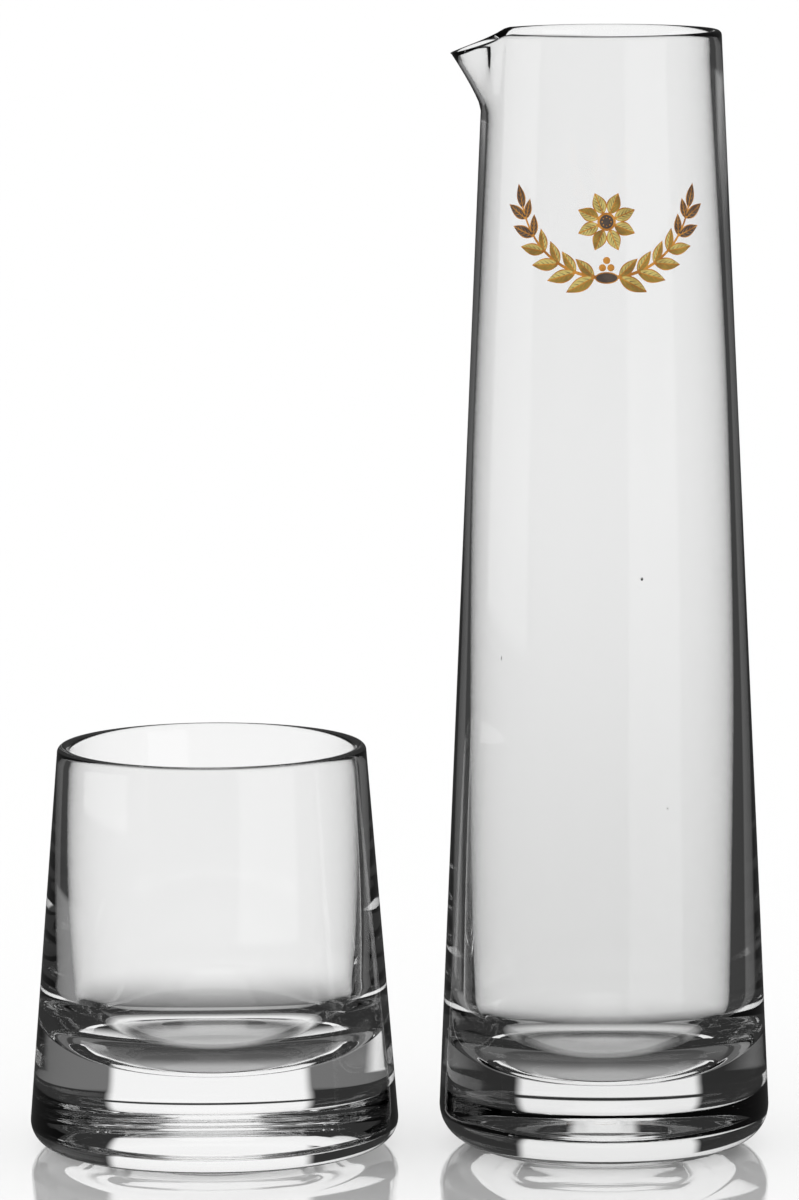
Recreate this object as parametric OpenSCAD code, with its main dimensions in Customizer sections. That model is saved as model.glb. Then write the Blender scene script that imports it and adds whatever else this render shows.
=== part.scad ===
// Bedside carafe with its tumbler, both heavy-based tapering glass, standing side by side.
// Millimetres, +Z up. The origin lies on the table, in the middle of the ground that the pair covers.

/* [Carafe] */
// Height of the carafe's rim above the table
carafe_h = 270; // [230:1:310]
// Outer radius of the carafe where its straight wall starts, above the rounded foot
carafe_foot_r = 40; // [36:0.5:46]
// Outer radius of the carafe at its rim
carafe_rim_r = 28.4; // [25:0.1:32]
// Radius of the rounded edge between the carafe's wall and its underside
carafe_foot_round = 9; // [6:0.5:10]
// How much smaller the ring that the carafe stands on is than its foot, in radius
carafe_foot_tuck = 9; // [7.5:0.5:12]
// Slope of the carafe's underside between that ring and the rounded edge, in degrees
carafe_foot_angle = 30; // [20:1:35]
// Thickness of the solid glass under the carafe's cavity
carafe_base_h = 17.5; // [15:0.5:24]
// Radius with which the carafe's cavity curves into its floor
carafe_floor_round = 20; // [10:0.5:24]
// Wall of the carafe at its rim
carafe_wall_rim = 2.6; // [2:0.1:3.4]
// Wall of the carafe where it is thinnest
carafe_wall_thin = 2; // [1.6:0.1:2.6]
// Height above the table at which the carafe's wall is thinnest
carafe_thin_z = 190; // [150:1:210]
// Wall of the carafe just above the curve of the cavity's floor
carafe_wall_foot = 7.4; // [5:0.1:9]

/* [Spout] */
// How far the spout's tip stands out from the rim
spout_reach = 8.4; // [6:0.1:11]
// How far the spout's tip lies below the rim
spout_droop = 4.6; // [3:0.1:6]
// Height from the spout's tip down to where it dies into the wall
spout_h = 14; // [11:0.5:18]
// Radius of the spout's nose, seen from above
spout_nose_r = 9.5; // [8:0.1:11.5]
// Thickness of the glass in the spout
spout_wall = 2; // [1.6:0.1:2.4]
// Distance from the carafe's axis at which the rim starts to run down to the spout's tip
spout_fold_r = 24; // [22:0.5:25]

/* [Tumbler] */
// Height of the tumbler's rim above the table
tumbler_h = 98; // [84:1:112]
// Outer radius of the tumbler where its straight wall starts, above the rounded foot
tumbler_foot_r = 44.7; // [40:0.1:50]
// Outer radius of the tumbler at its rim
tumbler_rim_r = 37.4; // [33:0.1:41]
// Radius of the rounded edge between the tumbler's wall and its underside
tumbler_foot_round = 6; // [4:0.5:8]
// How much smaller the ring that the tumbler stands on is than its foot, in radius
tumbler_foot_tuck = 16; // [12:0.5:20]
// Slope of the tumbler's underside between that ring and the rounded edge, in degrees
tumbler_foot_angle = 7.5; // [4:0.5:12]
// Thickness of the solid glass under the tumbler's cavity
tumbler_base_h = 20.5; // [16:0.5:26]
// Radius with which the tumbler's cavity curves into its floor
tumbler_floor_round = 20; // [10:0.5:24]
// Wall of the tumbler at its rim
tumbler_wall_rim = 3; // [2.2:0.1:3.8]
// Wall of the tumbler just above the curve of the cavity's floor
tumbler_wall_foot = 7.2; // [5:0.1:9]

/* [Undersides] */
// Width of the flat ring that each glass stands on
ring_w = 6; // [4:0.5:8]
// Depth of the shallow hollow ground inside that ring
punt_depth = 1.2; // [0.6:0.1:2]

/* [Layout] */
// Clear gap between the feet of the carafe and the tumbler
pair_gap = 10; // [4:0.5:40]

/* [Motif] */
// Depth of the motif's middle below the carafe's rim
motif_drop = 47; // [35:1:70]
// Radius of the arc that both stems of the wreath follow, measured round the glass
wreath_r = 22; // [18:0.5:25]
// Depth of the wreath's lowest point below the motif's middle
wreath_drop = 9.6; // [7:0.1:12]
// Width of a stem at the foot of the wreath
stem_w = 0.9; // [0.6:0.1:1.4]
// Length of the leaves at the foot of the wreath
leaf_long = 8.2; // [6:0.1:9.5]
// Length of the leaves at the tips of the wreath
leaf_short = 6; // [4.5:0.1:7.5]
// Greatest width of the longest leaf
leaf_w = 3.5; // [2.4:0.1:4]
// Width of the gold line left round each coloured half of a leaf
gold_line = 0.28; // [0.2:0.02:0.4]
// Radius of each of the three berries over the tie
berry_r = 0.85; // [0.5:0.05:1]
// Length of one petal of the rosette
petal_len = 5.4; // [3.5:0.1:6]
// Greatest width of one petal
petal_w = 3.3; // [2:0.1:3.8]
// Radius of the rosette's button
button_r = 1.9; // [1.2:0.1:2.2]
// Height of the rosette's middle above the motif's middle
rosette_rise = 3.6; // [2:0.1:5]
// Thickness of the gold ground
gold_t = 0.06; // [0.04:0.01:0.12]
// Thickness of each enamel printed over the gold
enamel_t = 0.05; // [0.04:0.01:0.1]

/* [Hidden] */
$fn = 96;

// Clearance between the glass and the gold, and between the gold and the enamels
print_gap = 0.02;
// Overrun of every cut
over = 2;
// Straight stretches that the cavity's bowed wall is made of, on each side of its thinnest place
bow_steps = 6;
// Flat steps in each quarter of a rounded edge
arc_steps = 8;
// Points along one edge of a leaf
leaf_steps = 8;
// Points along one stem
stem_steps = 18;
// Angles on the arc at which a stem starts and ends, from straight down
stem_start_angle = -8;
stem_end_angle = 76;
// Pairs of leaves on each spray
leaf_pairs = 6;
// Angle of a leaf to its stem
leaf_splay_angle = 36;
// Size of the leaves on the inner side of the wreath, as a share of those on its outer side
inner_leaf_share = 0.8;
// Leaf pairs at the tips of the sprays that are umber all over
umber_pairs = 2;
// Where along the leaf its coloured halves start and end
fill_start_share = 0.1;
fill_end_share = 0.9;
// Width of a stem's end, as a share of its start
stem_tip_share = 0.45;
// Where a leaf is widest: the power that bends the sine of its edge towards the stalk
leaf_belly_share = 0.85;
// Length of stem below the first pair of leaves and above the last, in steps between pairs
first_pair_share = 1.3;
last_gap_share = 0.25;
// Petals of the rosette
petal_count = 8;
// Half width and half height of the tie round the crossing stems, as shares of the longest leaf
tie_w_share = 0.34;
tie_h_share = 0.17;

spacing = carafe_foot_r + pair_gap + tumbler_foot_r;
carafe_x = (spacing + tumbler_foot_r - carafe_foot_r) / 2;
tumbler_x = carafe_x - spacing;
motif_z = carafe_h - motif_drop;

// Sizes of one glass, so that both are drawn by the same modules
function glass(h, foot_r, rim_r, foot_round, foot_tuck, foot_angle, base_h, floor_round,
               wall_rim, wall_thin, thin_z, wall_foot) =
    [h, foot_r, rim_r, foot_round, foot_tuck, foot_angle, base_h, floor_round,
     wall_rim, wall_thin, thin_z, wall_foot];
function height(g) = g[0];
function foot_r(g) = g[1];
function rim_r(g) = g[2];
function foot_round(g) = g[3];
function foot_tuck(g) = g[4];
function foot_angle(g) = g[5];
function base_h(g) = g[6];
function floor_round(g) = g[7];
function wall_rim(g) = g[8];
function wall_thin(g) = g[9];
function thin_z(g) = g[10];
function wall_foot(g) = g[11];
function lip_r(g) = wall_rim(g) / 2;
function lip_z(g) = height(g) - lip_r(g);
function bowl_z(g) = base_h(g) + floor_round(g);
function ring_r(g) = foot_r(g) - foot_tuck(g);
// Where the sloping underside meets the rounded edge, and where that edge meets the straight wall
function slope_r(g) = foot_r(g) - foot_round(g) * (1 - sin(foot_angle(g)));
function slope_z(g) = (slope_r(g) - ring_r(g)) * tan(foot_angle(g));
function foot_z(g) = slope_z(g) + foot_round(g) * cos(foot_angle(g));

carafe = glass(carafe_h, carafe_foot_r, carafe_rim_r, carafe_foot_round, carafe_foot_tuck,
               carafe_foot_angle, carafe_base_h, carafe_floor_round,
               carafe_wall_rim, carafe_wall_thin, carafe_thin_z, carafe_wall_foot);
tumbler = glass(tumbler_h, tumbler_foot_r, tumbler_rim_r, tumbler_foot_round, tumbler_foot_tuck,
                tumbler_foot_angle, tumbler_base_h, tumbler_floor_round,
                tumbler_wall_rim, tumbler_wall_rim, tumbler_h - tumbler_wall_rim / 2, tumbler_wall_foot);

// Outer radius at a height: straight from the top of the rounded foot to the lip
function outer_r(g, z) = foot_r(g) - (foot_r(g) - rim_r(g)) * (z - foot_z(g)) / (lip_z(g) - foot_z(g));
// Wall at a height: it grows with the square of the distance from its thinnest place
function wall_below(g, z) =
    wall_thin(g) + (wall_foot(g) - wall_thin(g)) * pow((thin_z(g) - z) / (thin_z(g) - bowl_z(g)), 2);
function wall_above(g, z) =
    wall_thin(g) + (wall_rim(g) - wall_thin(g)) * pow((z - thin_z(g)) / (lip_z(g) - thin_z(g)), 2);
function wall_at(g, z) = z <= thin_z(g) ? wall_below(g, z) : wall_above(g, z);
function inner_r(g, z) = outer_r(g, z) - wall_at(g, z);
// Heights of the places where the cavity's bowed wall is drawn
function steps_up(low, high) = [for (i = [1:bow_steps]) low + (high - low) * i / bow_steps];
function bow(g) =
    concat(steps_up(bowl_z(g), thin_z(g)), thin_z(g) < lip_z(g) ? steps_up(thin_z(g), lip_z(g)) : []);
function arc(centre, r, from, to) =
    [for (i = [0:arc_steps]) let (a = from + (to - from) * i / arc_steps) centre + r * [cos(a), sin(a)]];

// Right half of the glass's outer shape, as if it were solid
function outer_outline(g) =
    concat([[0, 0], [ring_r(g), 0]],
           arc([foot_r(g) - foot_round(g), foot_z(g)], foot_round(g), foot_angle(g) - 90, 0),
           arc([rim_r(g) - lip_r(g), lip_z(g)], lip_r(g), 0, 90),
           [[0, height(g)]]);

// Right half of the cavity, up past the rim, with the inner side of the rounded lip
function cavity_outline(g) =
    concat([[0, base_h(g)]],
           arc([inner_r(g, bowl_z(g)) - floor_round(g), bowl_z(g)], floor_round(g), -90, 0),
           [for (z = bow(g)) if (z < lip_z(g)) [inner_r(g, z), z]],
           arc([rim_r(g) - lip_r(g), lip_z(g)], lip_r(g), 180, 90),
           [[rim_r(g) - lip_r(g), height(g) + over], [0, height(g) + over]]);

module solid_glass(g) {
    rotate_extrude() polygon(outer_outline(g));
}

module cavity(g) {
    rotate_extrude() polygon(cavity_outline(g));
}

// Shallow hollow ground into the underside, inside the ring that the glass stands on
module punt(g) {
    hollow_r = ring_r(g) - ring_w;
    grind_r = (pow(hollow_r, 2) + pow(punt_depth, 2)) / (2 * punt_depth);
    translate([0, 0, punt_depth - grind_r]) sphere(grind_r);
}

// Beak of the spout as a solid nose: a cone that leaves the wall and widens up to the tip
tip_z = carafe_h - spout_droop;
nose_x = carafe_rim_r + spout_reach - spout_nose_r;
beak_z = tip_z - spout_h;
beak_r = outer_r(carafe, beak_z) - nose_x;
beak_slope = (spout_nose_r - beak_r) / spout_h;
beak_top_r = beak_r + beak_slope * (carafe_h - beak_z);
// Wall of the beak measured level, not square to its slope
beak_wall = spout_wall * sqrt(1 + pow(beak_slope, 2));
channel_z = beak_z + max(0, beak_wall - beak_r) / beak_slope;
channel_r = max(0, beak_r - beak_wall);
channel_top_r = beak_top_r + beak_slope * over - beak_wall;

module beak() {
    translate([-nose_x, 0, beak_z]) cylinder(h = carafe_h - beak_z, r1 = beak_r, r2 = beak_top_r);
}

module beak_channel() {
    translate([-nose_x, 0, channel_z])
        cylinder(h = carafe_h + over - channel_z, r1 = channel_r, r2 = channel_top_r);
}

// Everything above the slanting lip of the spout
module above_spout() {
    run = carafe_rim_r + spout_reach - spout_fold_r;
    size = 2 * carafe_rim_r;
    translate([-spout_fold_r, 0, carafe_h])
        rotate([0, -atan(spout_droop / run), 0])
            translate([-size, -carafe_rim_r, 0]) cube(size);
}

module carafe_glass() {
    color([0.86, 0.9, 0.9, 0.35]) translate([carafe_x, 0, 0]) difference() {
        union() {
            solid_glass(carafe);
            beak();
        }
        cavity(carafe);
        beak_channel();
        above_spout();
        punt(carafe);
    }
}

module tumbler_glass() {
    color([0.88, 0.91, 0.91, 0.35]) translate([tumbler_x, 0, 0]) difference() {
        solid_glass(tumbler);
        cavity(tumbler);
        punt(tumbler);
    }
}

// A place on the printed sheet, round the glass and up from the motif's middle, seen from the front
function wrapped(p) =
    let (z = motif_z + p[1], r = outer_r(carafe, z), turn = p[0] / r * 180 / PI) [r * sin(turn), z];
function wrapped_all(points) = [for (p = points) wrapped(p)];
function along(start, heading, forward, side) =
    start + [forward * cos(heading) - side * sin(heading), forward * sin(heading) + side * cos(heading)];

// Leaf: two bent sines that meet at its stalk and its tip
function bulge(t) = sin(180 * pow(t, leaf_belly_share));
function leaf_edge(start, heading, length, width, sign) =
    [for (i = [0:leaf_steps]) let (t = i / leaf_steps)
        along(start, heading, length * t, sign * width / 2 * bulge(t))];
function leaf(start, heading, length, width) =
    concat(leaf_edge(start, heading, length, width, 1),
           [for (i = [leaf_steps - 1:-1:1]) let (t = i / leaf_steps)
               along(start, heading, length * t, -width / 2 * bulge(t))]);
// Coloured half of a leaf, between its rib and the gold line round it
function leaf_half(start, heading, length, width, sign) =
    let (edge = width / 2 - gold_line, rib = gold_line / 2)
    concat([for (i = [0:leaf_steps])
               let (t = fill_start_share + (fill_end_share - fill_start_share) * i / leaf_steps)
               along(start, heading, length * t, sign * max(rib, edge * bulge(t)))],
           [along(start, heading, length * fill_end_share, sign * rib / 2),
            along(start, heading, length * fill_start_share, sign * rib / 2)]);

// The right-hand stem follows an arc that starts a little past the middle, so that the stems cross
function stem_heading(t) = stem_start_angle + (stem_end_angle - stem_start_angle) * t;
function stem_at(t) =
    [wreath_r * sin(stem_heading(t)), wreath_r * (1 - cos(stem_heading(t))) - wreath_drop];
function stem_side(sign) =
    [for (i = [0:stem_steps]) let (t = i / stem_steps, half = stem_w / 2 * (1 - (1 - stem_tip_share) * t))
        along(stem_at(t), stem_heading(t), 0, sign * half)];
function reversed(list) = [for (i = [len(list) - 1:-1:0]) list[i]];

function pair_t(i) = (i + first_pair_share) / (leaf_pairs + first_pair_share - last_gap_share);
// Length of a leaf along the spray; the left side of the right-hand stem faces the rosette
function leaf_len(t, sign) =
    (leaf_long + (leaf_short - leaf_long) * t) * (sign > 0 ? inner_leaf_share : 1);
function leaf_wide(t, sign) = leaf_w * leaf_len(t, sign) / leaf_long;

// Both sprays, the left one as the mirror of the right
module both_sides() {
    children();
    mirror([1, 0]) children();
}

// Whole leaves of the right-hand spray, pair by pair
module spray_leaves(pairs_from, pairs_to) {
    for (i = [pairs_from:pairs_to], sign = [-1, 1])
        let (t = pair_t(i), heading = stem_heading(t) + sign * leaf_splay_angle)
            polygon(wrapped_all(leaf(stem_at(t), heading, leaf_len(t, sign), leaf_wide(t, sign))));
}

// Coloured halves of those leaves: upper is 1 for the half on the leaf's left, -1 for the other
module spray_halves(pairs_from, pairs_to, upper) {
    for (i = [pairs_from:pairs_to], sign = [-1, 1])
        let (t = pair_t(i), heading = stem_heading(t) + sign * leaf_splay_angle)
            polygon(wrapped_all(leaf_half(stem_at(t), heading, leaf_len(t, sign), leaf_wide(t, sign),
                                          upper)));
}

// The leaf at the tip starts a stem's width before the stem ends, so that it joins on
module end_leaf() {
    start = along(stem_at(1), stem_heading(1), -stem_w, 0);
    polygon(wrapped_all(leaf(start, stem_heading(1), leaf_short, leaf_wide(1, -1))));
}

module end_leaf_half(sign) {
    start = along(stem_at(1), stem_heading(1), -stem_w, 0);
    polygon(wrapped_all(leaf_half(start, stem_heading(1), leaf_short, leaf_wide(1, -1), sign)));
}

module stem() {
    polygon(wrapped_all(concat(stem_side(1), reversed(stem_side(-1)))));
}

// Three berries over the tie, two side by side and one above them, a line's width apart
module berries() {
    side = berry_r + gold_line / 2;
    stand = leaf_long * tie_h_share + side;
    for (place = [[-side, stand], [side, stand], [0, stand + side * tan(60)]])
        translate(wrapped([0, -wreath_drop] + place)) circle(berry_r);
}

module petal_ring(inset) {
    for (i = [0:petal_count - 1]) let (heading = 360 * (i + 0.5) / petal_count)
        polygon(wrapped_all(leaf(along([0, rosette_rise], heading, button_r + inset, 0), heading,
                                 petal_len - 2 * inset, petal_w - 2 * inset)));
}

module button(r) {
    translate(wrapped([0, rosette_rise])) circle(r);
}

module tie(inset) {
    polygon(wrapped_all([for (i = [0:2 * leaf_steps - 1]) let (a = 180 * i / leaf_steps)
        [(leaf_long * tie_w_share - inset) * cos(a),
         (leaf_long * tie_h_share - inset) * sin(a) - wreath_drop]]));
}

// The carafe's outer wall behind the motif as a solid cone, grown by a lift
module wall_cone(lift) {
    low = motif_z - wreath_drop - leaf_long;
    high = motif_z + wreath_r - wreath_drop + leaf_long;
    translate([0, 0, low])
        cylinder(h = high - low, r1 = outer_r(carafe, low) + lift, r2 = outer_r(carafe, high) + lift);
}

// One printed layer: a flat drawing pressed round the front of the glass, a lift off its wall
module printed(lift, thickness) {
    translate([carafe_x, 0, 0]) intersection() {
        difference() {
            wall_cone(lift + thickness);
            wall_cone(lift);
        }
        rotate([90, 0, 0]) linear_extrude(carafe_foot_r) children();
    }
}

enamel_lift = print_gap + gold_t + print_gap;

module motif_gold() {
    color([0.79, 0.54, 0.23]) printed(print_gap, gold_t) {
        both_sides() {
            stem();
            spray_leaves(0, leaf_pairs - 1);
            end_leaf();
        }
        berries();
        petal_ring(0);
        button(button_r + gold_line);
        tie(0);
    }
}

module motif_olive() {
    color([0.59, 0.5, 0.18]) printed(enamel_lift, enamel_t)
        both_sides() spray_halves(0, leaf_pairs - 1 - umber_pairs, -1);
}

module motif_pale() {
    color([0.8, 0.73, 0.42]) printed(enamel_lift, enamel_t) {
        both_sides() spray_halves(0, leaf_pairs - 1 - umber_pairs, 1);
        petal_ring(gold_line);
    }
}

module motif_umber() {
    color([0.3, 0.25, 0.22]) printed(enamel_lift, enamel_t) {
        both_sides() {
            spray_halves(leaf_pairs - umber_pairs, leaf_pairs - 1, 1);
            spray_halves(leaf_pairs - umber_pairs, leaf_pairs - 1, -1);
            end_leaf_half(1);
            end_leaf_half(-1);
        }
        button(button_r - gold_line);
        tie(gold_line);
    }
}

carafe_glass();
tumbler_glass();
motif_gold();
motif_olive();
motif_pale();
motif_umber();
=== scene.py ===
"""Bedside carafe and its tumbler in clear glass, standing on a white studio floor.

Both are turned glasses with heavy solid bases. The carafe has a pulled spout and, on its front, a fired-on
print of a laurel wreath round a rosette. Sizes are in millimetres and angles in degrees until a mesh or a
node takes them.
"""
import logging
import math
from collections.abc import Callable, Mapping, Sequence
from dataclasses import dataclass
from enum import Enum
from typing import Any

import bmesh
import bpy
import numpy as np
from mathutils import Matrix, Vector


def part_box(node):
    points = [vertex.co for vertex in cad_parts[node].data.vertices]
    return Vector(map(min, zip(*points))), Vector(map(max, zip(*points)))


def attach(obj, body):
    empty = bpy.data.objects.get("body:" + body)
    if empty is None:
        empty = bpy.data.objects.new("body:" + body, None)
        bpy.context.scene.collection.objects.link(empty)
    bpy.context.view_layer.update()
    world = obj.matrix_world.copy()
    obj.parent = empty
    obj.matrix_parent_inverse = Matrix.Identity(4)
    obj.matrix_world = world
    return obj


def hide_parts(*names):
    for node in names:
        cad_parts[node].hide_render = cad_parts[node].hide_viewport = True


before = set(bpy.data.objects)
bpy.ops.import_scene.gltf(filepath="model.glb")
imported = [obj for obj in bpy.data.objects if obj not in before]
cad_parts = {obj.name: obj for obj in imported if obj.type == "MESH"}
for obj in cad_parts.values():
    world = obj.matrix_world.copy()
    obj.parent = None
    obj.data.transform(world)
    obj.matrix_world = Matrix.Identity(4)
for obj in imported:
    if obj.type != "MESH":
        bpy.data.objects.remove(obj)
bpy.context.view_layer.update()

MM = 0.001
SHARP_EDGE = math.radians(40)
# Corners nearer than WELD_GAP become one, and edges shorter than SLIVER go. Both are in metres.
WELD_GAP = 1e-7
SLIVER = 1e-8
WHITE = (1, 1, 1, 1)
LOG = logging.getLogger("carafe")

Point = tuple[float, float]
# A place on the flat sheet of the print, round and up, with a heading in radians.
Place = tuple[float, float, float]
# A place, or a number such as a width, at a share of a stroke's length.
Line = Callable[[float], Place]
Width = Callable[[float], float]
# Corners, one row each in millimetres, and the corners of each face, numbered from 0.
Skin = tuple[np.ndarray, list[Sequence[int]]]


def linear(red: int, green: int, blue: int) -> tuple[float, float, float, float]:
    """Turns a colour as a screen shows it into the linear one that a shader takes.

    Args:
        red: Red, 0 to 255.
        green: Green, 0 to 255.
        blue: Blue, 0 to 255.

    Returns:
        The linear colour with full alpha.
    """
    knee, slope, lift, power = 0.04045, 12.92, 0.055, 2.4
    parts = [value / 255 for value in (red, green, blue)]
    opened = [p / slope if p <= knee else ((p + lift) / (1 + lift)) ** power for p in parts]
    return (opened[0], opened[1], opened[2], 1.0)


def arc(centre: Point, radius: float, start: float, end: float, steps: int) -> list[Point]:
    """Points along a round edge.

    Args:
        centre: Middle of the arc.
        radius: Its radius.
        start: Angle of the first point, degrees.
        end: Angle of the last point, degrees.
        steps: Straight steps between them.

    Returns:
        The points from start to end.
    """
    angles = np.radians(np.linspace(start, end, steps + 1))
    return [(centre[0] + radius * math.cos(a), centre[1] + radius * math.sin(a)) for a in angles]


def ease(values: np.ndarray | float, low: float, high: float) -> np.ndarray:
    """Rises smoothly from 0 at low to 1 at high.

    Args:
        values: Where to read the curve.
        low: Where it leaves 0.
        high: Where it reaches 1.

    Returns:
        The curve's height at each value.
    """
    share = np.clip((np.asarray(values, float) - low) / (high - low), 0, 1)
    return share * share * (3 - 2 * share)


class Num:
    """A number in a shader: a socket on which Python's operators add Math nodes."""

    def __init__(self, graph: "Graph", socket: bpy.types.NodeSocket) -> None:
        """Wraps a socket of a graph."""
        self.graph = graph
        self.socket = socket

    def math(self, operation: str, *values: "Num | float") -> "Num":
        """Adds one Math node.

        Args:
            operation: Blender's name of the operation.
            values: What goes into its sockets, in order.

        Returns:
            The node's result.
        """
        return self.graph.number("ShaderNodeMath", {"operation": operation}, dict(enumerate(values)))

    def __add__(self, other: "Num | float") -> "Num":
        """Returns the sum."""
        return self.math("ADD", self, other)

    def __sub__(self, other: "Num | float") -> "Num":
        """Returns the difference."""
        return self.math("SUBTRACT", self, other)

    def __rsub__(self, other: float) -> "Num":
        """Returns the difference from a plain number."""
        return self.math("SUBTRACT", other, self)

    def __mul__(self, other: "Num | float") -> "Num":
        """Returns the product."""
        return self.math("MULTIPLY", self, other)

    def __lt__(self, other: "Num | float") -> "Num":
        """Returns 1 where this is the smaller, else 0."""
        return self.math("LESS_THAN", self, other)

    def __abs__(self) -> "Num":
        """Returns the size without its sign."""
        return self.math("ABSOLUTE", self)

    __radd__ = __add__
    __rmul__ = __mul__

    def highest(self, other: "Num | float") -> "Num":
        """Returns the larger of the two."""
        return self.math("MAXIMUM", self, other)

    def ramp(self, low: float, high: float) -> "Num":
        """Rises smoothly from 0 at low to 1 at high.

        Args:
            low: Where the result is 0.
            high: Where the result is 1. If it is below low, the result falls from 1 to 0 between them.

        Returns:
            The eased share.
        """
        if low > high:
            return 1 - self.ramp(high, low)
        settings = {"interpolation_type": "SMOOTHSTEP"}
        sockets = {"Value": self, "From Min": low, "From Max": high}
        return self.graph.number("ShaderNodeMapRange", settings, sockets)


class Graph:
    """A node tree that is built from expressions and from one method for all other nodes."""

    MIX_FACTOR, MIX_A, MIX_B, MIX_RESULT = 0, 6, 7, 2

    def __init__(self, tree: bpy.types.NodeTree) -> None:
        """Takes over a node tree and empties it."""
        self.tree = tree
        tree.nodes.clear()

    def feed(self, socket: bpy.types.NodeSocket, value: Any) -> None:
        """Sets a socket to a plain value, or links a number, node or socket to it.

        Args:
            socket: The socket that is fed.
            value: What goes in.
        """
        source = value.socket if isinstance(value, Num) else value
        if isinstance(source, bpy.types.Node):
            source = source.outputs[0]
        if isinstance(source, bpy.types.NodeSocket):
            self.tree.links.new(source, socket)
        else:
            socket.default_value = source

    def node(
        self,
        kind: str,
        settings: Mapping[str, Any] | None = None,
        sockets: Mapping[str | int, Any] | None = None,
    ) -> bpy.types.Node:
        """Adds a node.

        Args:
            kind: Blender's type of the node.
            settings: Its settings, such as a Math node's operation, which are set first.
            sockets: Values or links of its sockets, by name or number.

        Returns:
            The node.
        """
        made = self.tree.nodes.new(kind)
        for name, value in (settings or {}).items():
            setattr(made, name, value)
        for name, value in (sockets or {}).items():
            self.feed(made.inputs[name], value)
        return made

    def number(self, kind: str, settings: Mapping | None = None, sockets: Mapping | None = None) -> Num:
        """Adds a node and returns its first output as a number."""
        return Num(self, self.node(kind, settings, sockets).outputs[0])

    def mix(self, share: Num | float, first: Any, second: Any) -> bpy.types.NodeSocket:
        """Mixes two colours.

        Args:
            share: How much of the second shows.
            first: Colour or link at share 0.
            second: Colour or link at share 1.

        Returns:
            The mixed colour's socket.
        """
        sockets = {self.MIX_FACTOR: share, self.MIX_A: first, self.MIX_B: second}
        return self.node("ShaderNodeMix", {"data_type": "RGBA"}, sockets).outputs[self.MIX_RESULT]

    def blend(self, share: Num | float, first: Any, second: Any) -> bpy.types.Node:
        """Returns a shader that mixes two others; share is how much of the second shows."""
        return self.node("ShaderNodeMixShader", {}, {0: share, 1: first, 2: second})

    def grain(self, size: float, stretch: float = 1.0, detail: float = 2.0) -> Num:
        """Cloudy noise that sits still on the object.

        Args:
            size: Width of one cloud, mm.
            stretch: How much taller than wide the clouds are.
            detail: Octaves of finer clouds.

        Returns:
            The noise, 0 to 1.
        """
        place = self.node("ShaderNodeTexCoord").outputs["Object"]
        spread = self.node("ShaderNodeMapping", {}, {"Vector": place, "Scale": (1, 1, 1 / stretch)})
        sockets = {"Vector": spread, "Scale": 1 / (size * MM), "Detail": detail}
        return self.number("ShaderNodeTexNoise", {}, sockets)

    def relief(self, height: Num, depth: float, strength: float = 1.0) -> bpy.types.NodeSocket:
        """Raises a skin by a pattern.

        Args:
            height: The pattern, 0 to 1.
            depth: Height of its peaks, mm.
            strength: How much of it shows.

        Returns:
            The socket with the raised skin's normal.
        """
        sockets = {"Strength": strength, "Distance": depth * MM, "Height": height}
        return self.node("ShaderNodeBump", {}, sockets).outputs["Normal"]

    def surface(self, sockets: Mapping[str, Any]) -> None:
        """Ends a material with a Principled shader.

        Args:
            sockets: Values and links of the shader.
        """
        shader = self.node("ShaderNodeBsdfPrincipled", {}, sockets)
        self.node("ShaderNodeOutputMaterial", {}, {"Surface": shader})


def new_material(name: str) -> tuple[bpy.types.Material, Graph]:
    """Makes an empty material.

    Args:
        name: Its name.

    Returns:
        The material and its graph.
    """
    material = bpy.data.materials.new(name)
    material.use_nodes = True
    return material, Graph(material.node_tree)


@dataclass(frozen=True)
class ClearGlass:
    """Clear blown glass: a faint tint in slow cords, painted shade that darkens it towards the bottom, and a
    skin that isn't quite even.

    Attributes:
        name: Name of the material.
        thin: Colour where the glass is clearest.
        cord: Colour in the cords.
        painted_shade: Painted shade: the darker colour that the glass takes on low down, where the backdrop
            seen through it is dimmer.
        painted_shade_from: Height up to which that painted shade reaches, mm.
        cord_size: Width of a cord, mm.
        cord_stretch: How much longer than wide a cord is.
        cord_band: Noise at which a cord begins, and at which it is full.
        ripple_size: Width of one ripple of the skin, mm.
        ripple_stretch: How much longer than wide a ripple is.
        ripple_depth: Height of the ripples, mm.
        bend: Refractive index.
    """

    name: str
    thin: tuple = (0.988, 0.989, 0.988, 1.0)
    cord: tuple = (0.981, 0.982, 0.981, 1.0)
    painted_shade: tuple = (0.97, 0.971, 0.97, 1.0)
    painted_shade_from: float = 90.0
    cord_size: float = 9.0
    cord_stretch: float = 5.0
    cord_band: tuple[float, float] = (0.45, 0.75)
    ripple_size: float = 34.0
    ripple_stretch: float = 3.0
    ripple_depth: float = 0.006
    bend: float = 1.5

    def build(self) -> bpy.types.Material:
        """Makes the material.

        Returns:
            The finished material.
        """
        material, graph = new_material(self.name)
        cords = graph.grain(self.cord_size, self.cord_stretch).ramp(*self.cord_band)
        ripple = graph.grain(self.ripple_size, self.ripple_stretch, detail=0.0)
        place = graph.node("ShaderNodeTexCoord").outputs["Object"]
        z = Num(graph, graph.node("ShaderNodeSeparateXYZ", {}, {0: place}).outputs["Z"])
        # The glass's colour darkens towards the bottom in painted shade, for the dimmer backdrop seen through
        # it low down.
        cords_and_painted_shade = graph.mix(z.ramp(self.painted_shade_from * MM, 0), graph.mix(cords, self.thin, self.cord), self.painted_shade)
        graph.surface({"Base Color": cords_and_painted_shade, "Roughness": 0.0, "IOR": self.bend, "Transmission Weight": 1.0,
                       "Normal": graph.relief(ripple, self.ripple_depth)})
        return material


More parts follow.
